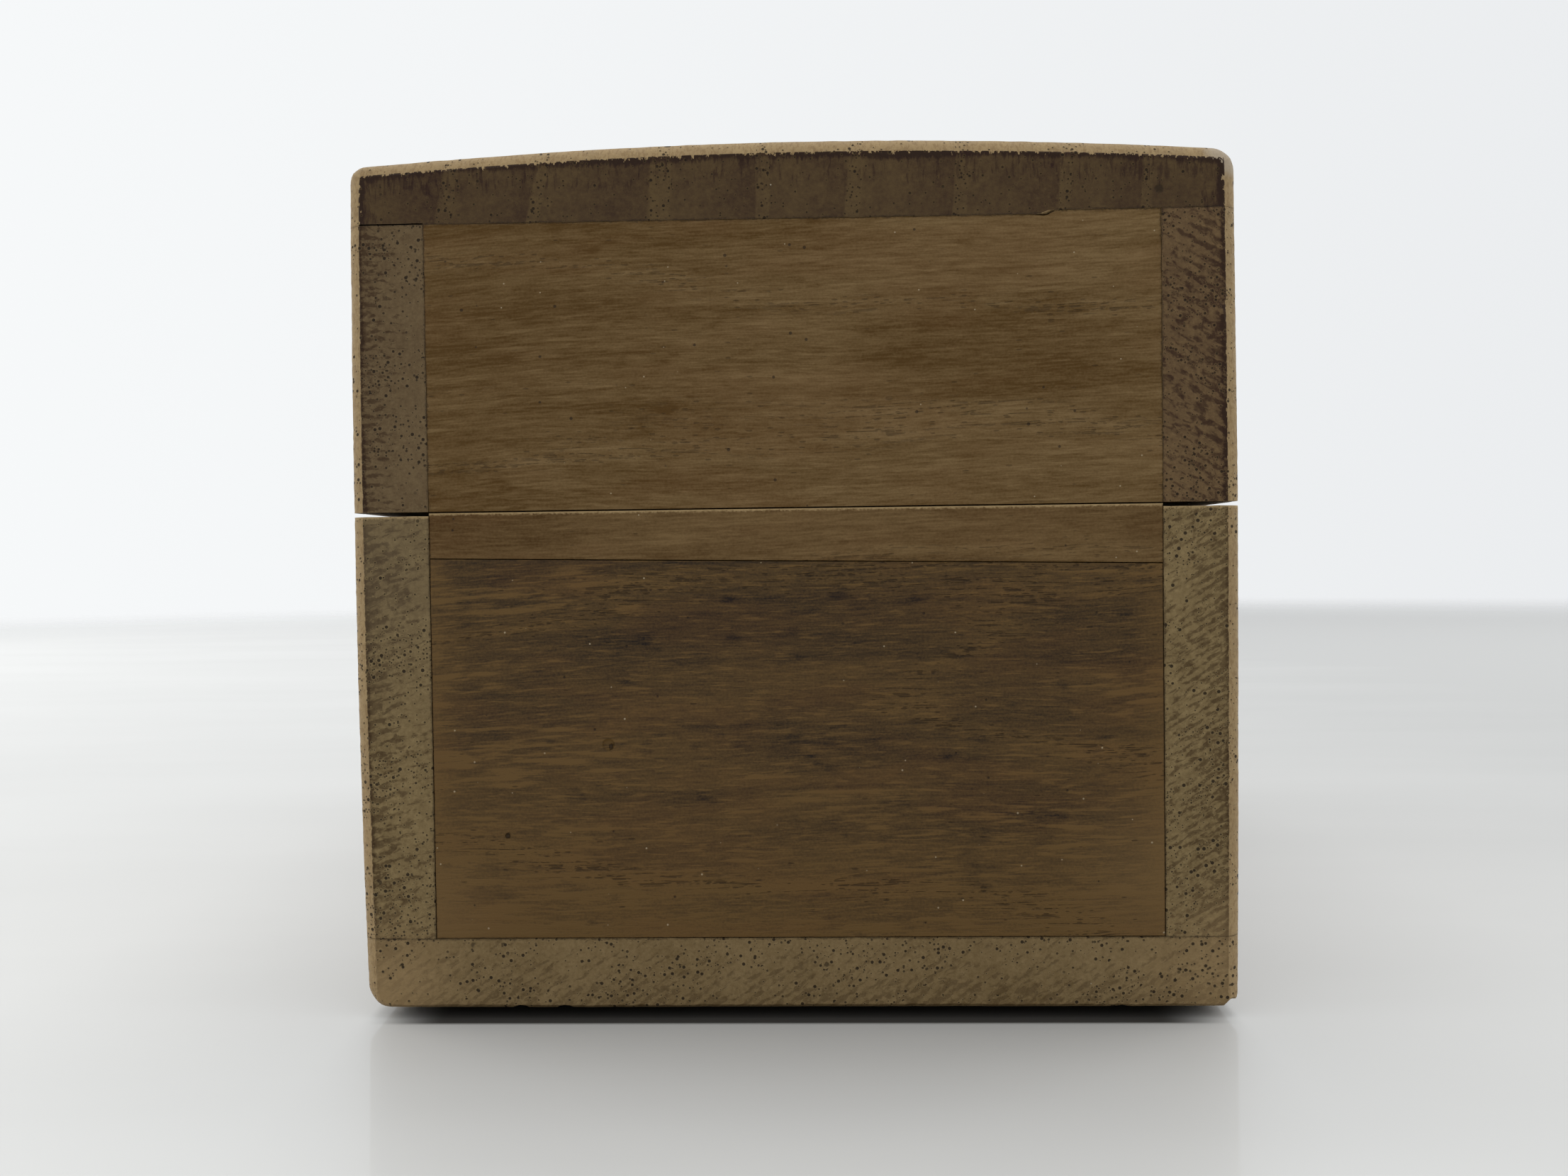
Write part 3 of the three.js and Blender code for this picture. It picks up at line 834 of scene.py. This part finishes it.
def panel_wood(
    name, shift, dark, light, contrast, pale_lines, pore_lines, seams, slopes, worn_and_highlit_top=None, rubbed=0.0,
    marks=(), stains=(),
):
    """Straight-grained wood along X: soft streaks, pale lines, and rows of short dark pore lines. slopes
    is how much paler it gets towards +X and towards the top, and rubbed next to its seams."""
    f = Finish(name, shift)
    sway = f.total(f.product(f.x, -0.035), (f.noise((0.018, 0.02, 0.02), 1.5), 4.0))
    f.moved = f.vector("ADD", f.moved, f.node("ShaderNodeCombineXYZ", {2: sway}).outputs[0])
    broad = f.noise((0.04, 0.05, 0.13), 3, 0.6)
    streak = f.noise((0.05, 0.5, 0.9), 3, 0.6)
    fibre = f.noise((0.45, 2.0, 5.0), 3, 0.62)
    speck = f.noise((4.5, 2.0, 5.5), 2, 0.6)
    pale = pale_streaks(f)
    blotch = f.step(f.noise((0.35, 0.3, 0.9), 2, 0.5), 0.68, 0.07)
    bands = f.lines((0.010, 0.3, 0.075), 0.022, 1.5)

    lift = f.total(
        0.42, (broad, 1.0 * contrast), (streak, 1.0 * contrast), (fibre, 1.1 * contrast), (speck, 0.7)
    )
    half, middle = HALF_WIDTH / MM, HEIGHT / 2 / MM
    lift = f.plus(lift, (f.over(f.x, half), slopes[0]))
    lift = f.plus(lift, (f.over(f.less(f.z, middle), half), slopes[1]))
    lift = f.plus(lift, (pale, 0.36 * pale_lines), (blotch, -0.22), (bands, 0.20 * pore_lines))
    if rubbed:
        lift = f.plus(lift, (near_seams(f, seams, streak), rubbed))
    colour = f.mix(f.clamped(lift), dark, light)
    red = f.step(f.noise((0.07, 0.07, 0.25), 2), 0.56, 0.1)
    colour = f.mix(f.product(red, 0.08), colour, REDDISH)

    cuts = pore_lines_in(f, bands)
    pits, _ = f.dots((0.75, 0.75, 0.75), 0.09, 0.16)
    if marks:
        pits = f.most(pits, f.marks(marks))
    colour = f.stained(colour, stains)
    colour = f.mix(f.product(cuts, 0.75 * pore_lines), colour, PORE_LINE)
    colour = f.mix(f.product(pits, 0.7), colour, PIT)
    # Dark joint lines: dirt and painted shade of the crevices between boards
    colour = f.mix(f.product(f.seam_dirt_and_shade(seams, SEAM_DARK_REACH), 0.6), colour, SEAM_DIRT_AND_SHADE)
    # A pale line painted along the top edge: worn wood and a painted highlight
    if worn_and_highlit_top:
        near_top = f.math("ADD", f.z, f.total(0.0, (speck, 0.4)))
        colour = f.mix(f.product(f.step(near_top, worn_and_highlit_top - 0.16, 0.12), 0.8), colour, WORN_AND_HIGHLIGHT)
    dust, _ = f.dots((0.6, 0.6, 0.6), 0.045, 0.6)
    colour = f.mix(f.product(dust, 0.6), colour, PANEL_DUST)
    roughness = f.total(0.55, (fibre, 0.25), (broad, 0.2), (cuts, 0.2))
    height = f.plus(0.0, (cuts, -1.0), (pits, -1.0), (fibre, 0.5), (speck, 0.4), (pale, 0.25))
    return f.finish(colour, roughness, height, 0.05)


def plain_wood(name, shift, along, dark, light):
    """Unfinished inside wood, with its grain along X or Y."""
    f = Finish(name, shift)
    quick, slow = (0.03, 0.5) if along == "x" else (0.5, 0.03)
    streak = f.noise((quick, slow, 0.5), 4, 0.6, 0.3)
    quick, slow = (0.3, 4.0) if along == "x" else (4.0, 0.3)
    fibre = f.noise((quick, slow, 4.0), 3, 0.6)
    cloud = f.noise((0.1, 0.1, 0.1), 3)
    lift = f.total(0.5, (streak, 0.9), (fibre, 0.5), (cloud, 0.6))
    quick, slow = (0.2, 2.4) if along == "x" else (2.4, 0.2)
    lines, _ = f.dots((quick, slow, 2.4), 0.26, 0.3)
    colour = f.mix(f.clamped(lift), dark, light)
    colour = f.mix(f.product(lines, 0.55), colour, srgb(52, 37, 22))
    height = f.total(0.0, (lines, -1.0), (fibre, 0.6))
    return f.finish(colour, f.total(0.7, (fibre, 0.2)), height, 0.05, 0.25)


def brass():
    """Turned brass, dulled by handling."""
    f = Finish("dull_brass", 3)
    tarnish = f.noise((0.5, 0.3, 0.5), 4, 0.6)
    turning = f.noise((0.2, 9.0, 0.2), 2)
    colour = f.mix(f.step(tarnish, 0.55, 0.15), srgb(196, 160, 92), srgb(122, 92, 48))
    f.surface.inputs["Metallic"].default_value = 1.0
    return f.finish(colour, f.total(0.34, (tarnish, 0.35)), turning, 0.01, 0.5)


def glossy_white():
    """A pale, polished table top that fades into the white round it, with painted light towards its left and
    front and a painted shadow under the box.
    """
    f = Finish("table_top", 0)
    cloud = f.noise((0.006, 0.02, 0.01), 4, 0.55)
    # Painted light: the table's tone is made lighter towards the left, where the light falls stronger, and
    # lighter over the front half, against the shade round the box
    tone = f.plus(f.total(0.5, (cloud, 0.6)), (f.x, -0.0028))
    painted_light_in_front = f.step(f.y, 0.0, -130.0)
    tone = f.plus(tone, (painted_light_in_front, 0.9))
    colour = f.mix(f.clamped(f.product(tone, 0.6)), srgb(160, 160, 158), srgb(208, 208, 206))
    # Painted shadow: the table is painted dark under the box and a little past its ends, where hardly any
    # light reaches
    under_x = f.step(f.absolute(f.x), HALF_WIDTH / MM - 4.0, -3.5)
    under_y = f.step(f.absolute(f.y), HALF_LENGTH / MM + 1.3, -0.35)
    colour = f.mix(f.product(under_x, under_y, 0.93), colour, srgb(30, 26, 20))
    f.feed(f.surface.inputs["Base Color"], colour)
    f.surface.inputs["Roughness"].default_value = 0.45
    f.surface.inputs["Coat Weight"].default_value = 0.35
    f.surface.inputs["Coat Roughness"].default_value = 0.04
    away = f.node("ShaderNodeVectorMath", {0: f.place}, operation="LENGTH").outputs["Value"]
    shown = f.step(away, 900.0, -250.0)
    f.feed(f.surface.inputs["Alpha"], shown)
    return f.material


# ---------------------------------------------------------------- the pieces

LID_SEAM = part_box("lid_top_board")[0].z
CASE_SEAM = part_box("bottom_board")[1].z
INNER_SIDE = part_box("lid_end_front")[1].x
SPLIT_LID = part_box("lid_side_left")[0].z
SPLIT_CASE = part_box("case_side_left")[1].z
RAIL_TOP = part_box("end_rail_front")[1].z

PALE_CORNER = seen(148, 124, 90)
LONG_SIDES = srgb(96, 76, 50), srgb(134, 112, 79)

side_seams = [("x", -INNER_SIDE / MM), ("x", INNER_SIDE / MM)]
lid_seams = [*side_seams, ("z", LID_SEAM / MM)]
case_seams = [*side_seams, ("z", CASE_SEAM / MM)]


def lid_boards():
    """The top board and the two side boards of the lid."""
    x, z = OUTLINE[:, 0], OUTLINE[:, 1]
    colours = (seen(44, 31, 17), seen(83, 68, 47)), LONG_SIDES
    knot = [(31.0, 69.9, 0.35)]
    top = frame_wood(
        "lid_top_elm", 3.1, *colours, (0, 3.0, 0.6, 1.0, 0.30), (0.45, 0.60, 0.42), 1.0,
        [("z", LID_SEAM / MM)], (8.6, -0.14), None, knot,
    )
    outer_board("lid_top_board", "lid", top, z - LID_SEAM, [], stepped=True)
    woods = {
        -1: ((seen(56, 41, 25), seen(103, 87, 64)), (0, 1.2, 2.4, 1.5, 0.38), (0.25, 0.45, 0.1), 1.8),
        1: ((seen(50, 35, 20), seen(102, 83, 59)), (-30, 1.0, 1.9, 4.0, 0.48), (0.3, 0.5, 0.12), 1.8),
    }
    for node, sign, shift in (("lid_side_left", -1, 11.7), ("lid_side_right", 1, 23.9)):
        end, bars, edge, pores = woods[sign]
        wood = frame_wood(node + "_elm", shift, end, LONG_SIDES, bars, edge, pores, lid_seams)
        depth = np.minimum(np.minimum(z - SPLIT_LID, LID_SEAM - z), sign * x - INNER_SIDE)
        inner = [(sign * INNER_SIDE, LID_SEAM), (sign * INNER_SIDE, SPLIT_LID)]
        # A torn place on the right side board, wide at its upper end
        torn = [(60.6 * MM, 0.6 * MM, 2.0 * MM)] if sign > 0 else []
        outer_board(node, "lid", wood, depth, inner[::sign], torn)


def case_boards():
    """The bottom board and the two side boards of the case."""
    x, z = OUTLINE[:, 0], OUTLINE[:, 1]
    colours = (seen(76, 60, 37), seen(122, 104, 75)), LONG_SIDES
    pits = [(2.4, 4.6, 0.22), (-28.0, 6.4, 0.18), (-25.4, 6.4, 0.15)]
    corners = [(-36, 2, 9, PALE_CORNER, 0.45), (37, 3, 11, PALE_CORNER, 0.35)]
    bottom = frame_wood(
        "bottom_elm", 41.3, *colours, (35, 1.1, 2.4, 2.5, 0.13), (0.2, 0.15, 0.1), 1.2,
        [("z", CASE_SEAM / MM)], None, None, pits, corners,
    )
    edge = -HALF_LENGTH + 0.2 * MM
    chips = [
        ((-23.9 * MM, edge, 0.45 * MM), 0.75 * MM),
        ((-20.1 * MM, edge, 0.40 * MM), 0.80 * MM),
        ((27.5 * MM, edge, 0.50 * MM), 0.60 * MM),
        ((36.9 * MM, edge, 0.9 * MM), 0.8 * MM),
    ]
    outer_board("bottom_board", "case", bottom, CASE_SEAM - z, [], (), chips, CASE_SEAM)
    woods = {-1: (15, 0.9, 1.9, 2.8, 0.32), 1: (30, 1.0, 2.6, 4.0, 0.30)}
    holes = {-1: [(-36.0, 11.9, 0.18)], 1: [(30.3, 43.2, 0.2)]}
    stains = {-1: [(-35, 40, 18, seen(86, 75, 61), 0.35), corners[0]], 1: [corners[1]]}
    for node, sign, shift in (("case_side_left", -1, 57.1), ("case_side_right", 1, 71.9)):
        end = seen(62, 47, 28), seen(125, 108, 77)
        wood = frame_wood(
            node + "_elm", shift, end, LONG_SIDES, woods[sign], (0.22, 0.22, 0.12), 1.5, case_seams,
            None, SPLIT_CASE / MM, holes[sign], stains[sign],
        )
        depth = np.minimum(np.minimum(z - CASE_SEAM, SPLIT_CASE - z), sign * x - INNER_SIDE)
        inner = [(sign * INNER_SIDE, SPLIT_CASE), (sign * INNER_SIDE, CASE_SEAM)]
        outer_board(node, "case", wood, depth, inner[::sign])


def end_panels():
    """At both ends: the lid's panel, the thin rail under it, and the drawer's end."""
    pale = seen(74, 55, 31), seen(110, 90, 62)
    dark = seen(31, 19, 7), seen(92, 72, 46)
    rail = seen(68, 50, 28), seen(104, 84, 57)
    dents = [(-16 * MM, 23.6 * MM, 0.6 * MM, 0.35 * MM), (-24.8 * MM, 15.8 * MM, 0.25 * MM, 0.2 * MM)]
    pits = [(-15.8, 23.4, 0.2), (-24.8, 15.8, 0.22)]
    pale_ends = [(31, 12, 10, seen(106, 85, 57), 0.4), (-31, 9, 7, seen(106, 85, 57), 0.35)]
    for end, shift in (("front", 5.3), ("back", 31.7)):
        wood = panel_wood(f"lid_end_{end}_grain", shift, *pale, 1.25, 0.7, 0.6, lid_seams, (0.06, -0.05))
        panel = end_panel(f"lid_end_{end}", "lid", wood, 0.035 * MM)
        if end == "front":
            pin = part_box("tilt_pin")
            centre = (pin[0] + pin[1]) / 2
            inner_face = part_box("lid_end_front")[1].y
            bore(panel, (0, inner_face, centre.z), PIN_BORE_RADIUS, 2 * PIN_BORE_DEPTH)
        wood = panel_wood(
            f"end_rail_{end}_grain", shift + 9, *rail, 1.1, 0.6, 0.5, side_seams, (0.0, 0.0), RAIL_TOP / MM
        )
        end_panel(f"end_rail_{end}", "case", wood, 0.1 * MM, "bottom")
        wood = panel_wood(
            f"drawer_{end}_grain", shift + 17, *dark, 0.85, 1.4, 0.85, case_seams, (-0.04, -0.42), None, 0.28,
            pits, pale_ends,
        )
        end_panel(
            f"drawer_{end}", "drawer", wood, 0.035 * MM, "top",
            dents if end == "front" else (),
        )


def inside_pieces():
    """The inside boards keep their CAD shape, in a plain pale wood with its grain along each board."""
    colours = srgb(128, 101, 66), srgb(182, 153, 110)
    woods = {axis: plain_wood(f"inside_grain_{axis}", 9.0, axis, *colours) for axis in "xy"}
    across = ("lip_front", "lip_back", "lock_block", "drawer_partition")
    along = ("lip_left", "lip_right", "tray_floor", "drawer_side_left", "drawer_side_right", "drawer_floor")
    for axis, names in (("x", across), ("y", along)):
        for name in names:
            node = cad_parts[name]
            node.data.materials.clear()
            node.data.materials.append(woods[axis])


def locks():
    """The brass pin and the turned peg keep their CAD shape."""
    peg_wood = plain_wood("peg_grain", 77.0, "y", srgb(58, 40, 24), srgb(104, 77, 48))
    for name, material in (("tilt_pin", brass()), ("drawer_peg", peg_wood)):
        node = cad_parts[name]
        node.data.materials.clear()
        node.data.materials.append(material)


# ---------------------------------------------------------------- stage, light and camera


def table_top():
    """The floor of the scene, wide enough to fade out before its edge."""
    mesh = bpy.data.meshes.new("table_top")
    reach = 1.3
    corners = [(-reach, -reach, 0), (reach, -reach, 0), (reach, reach, 0), (-reach, reach, 0)]
    mesh.from_pydata(corners, [], [(0, 1, 2, 3)])
    mesh.materials.append(glossy_white())
    floor = bpy.data.objects.new("table_top", mesh)
    bpy.context.scene.collection.objects.link(floor)


def soft_light(name, place, size, power):
    """A square softbox that looks at the middle of the box."""
    light = bpy.data.lights.new(name, "AREA")
    light.shape = "SQUARE"
    light.size = size
    light.energy = power
    lamp = bpy.data.objects.new(name, light)
    lamp.location = place
    towards = Vector((0, 0, HEIGHT / 2)) - lamp.location
    lamp.rotation_euler = towards.to_track_quat("-Z", "Y").to_euler()
    lamp.visible_glossy = False
    bpy.context.scene.collection.objects.link(lamp)


def studio():
    """A pale backdrop, a little darker at the right, and three softboxes."""
    world = bpy.data.worlds.new("studio")
    world.use_nodes = True
    tree = world.node_tree
    direction = tree.nodes.new("ShaderNodeTexCoord").outputs["Generated"]
    parts = tree.nodes.new("ShaderNodeSeparateXYZ")
    tree.links.new(direction, parts.inputs[0])
    across = tree.nodes.new("ShaderNodeMapRange")
    across.inputs["From Min"].default_value = -0.6
    across.inputs["From Max"].default_value = 0.6
    tree.links.new(parts.outputs["X"], across.inputs["Value"])
    backdrop = tree.nodes.new("ShaderNodeMix")
    backdrop.data_type = "RGBA"
    backdrop.inputs[6].default_value = srgb(247, 249, 250)
    backdrop.inputs[7].default_value = srgb(234, 236, 238)
    tree.links.new(across.outputs["Result"], backdrop.inputs[0])
    tree.links.new(backdrop.outputs[2], tree.nodes["Background"].inputs["Color"])
    bpy.context.scene.world = world
    soft_light("top_softbox", (0.0, 0.15, 0.75), 0.6, 3.0)
    soft_light("left_softbox", (-0.7, 0.2, 0.3), 0.5, 2.0)
    soft_light("right_softbox", (0.7, 0.25, 0.3), 0.5, 2.0)
    bpy.context.scene.view_settings.view_transform = "Standard"


def camera():
    """A phone held close in front of the end, a little right of its middle, almost level."""
    lens = bpy.data.cameras.new("camera")
    lens.sensor_width = 36
    lens.lens = 29.93  # millimetres, for a frame as wide as the sensor
    lens.clip_start = 0.005
    eye = bpy.data.objects.new("camera", lens)
    bpy.context.scene.collection.objects.link(eye)
    down, left, roll = math.radians(1.226), math.radians(1.862), math.radians(-0.724)
    ahead = math.cos(down)
    forward = Vector((-math.sin(left) * ahead, math.cos(left) * ahead, -math.sin(down)))
    level = Vector((math.cos(left), math.sin(left), 0))
    above = level.cross(forward)
    right = level * math.cos(roll) + above * math.sin(roll)
    up = above * math.cos(roll) - level * math.sin(roll)
    turn = Matrix((right, up, -forward)).transposed().to_4x4()
    place = Vector((2.8 * MM, -HALF_LENGTH - 110.7 * MM, 39.2 * MM))
    eye.matrix_world = Matrix.Translation(place) @ turn
    bpy.context.scene.camera = eye


camera()
lid_boards()
case_boards()
end_panels()
inside_pieces()
locks()
table_top()
studio()

bpy.context.view_layer.update()
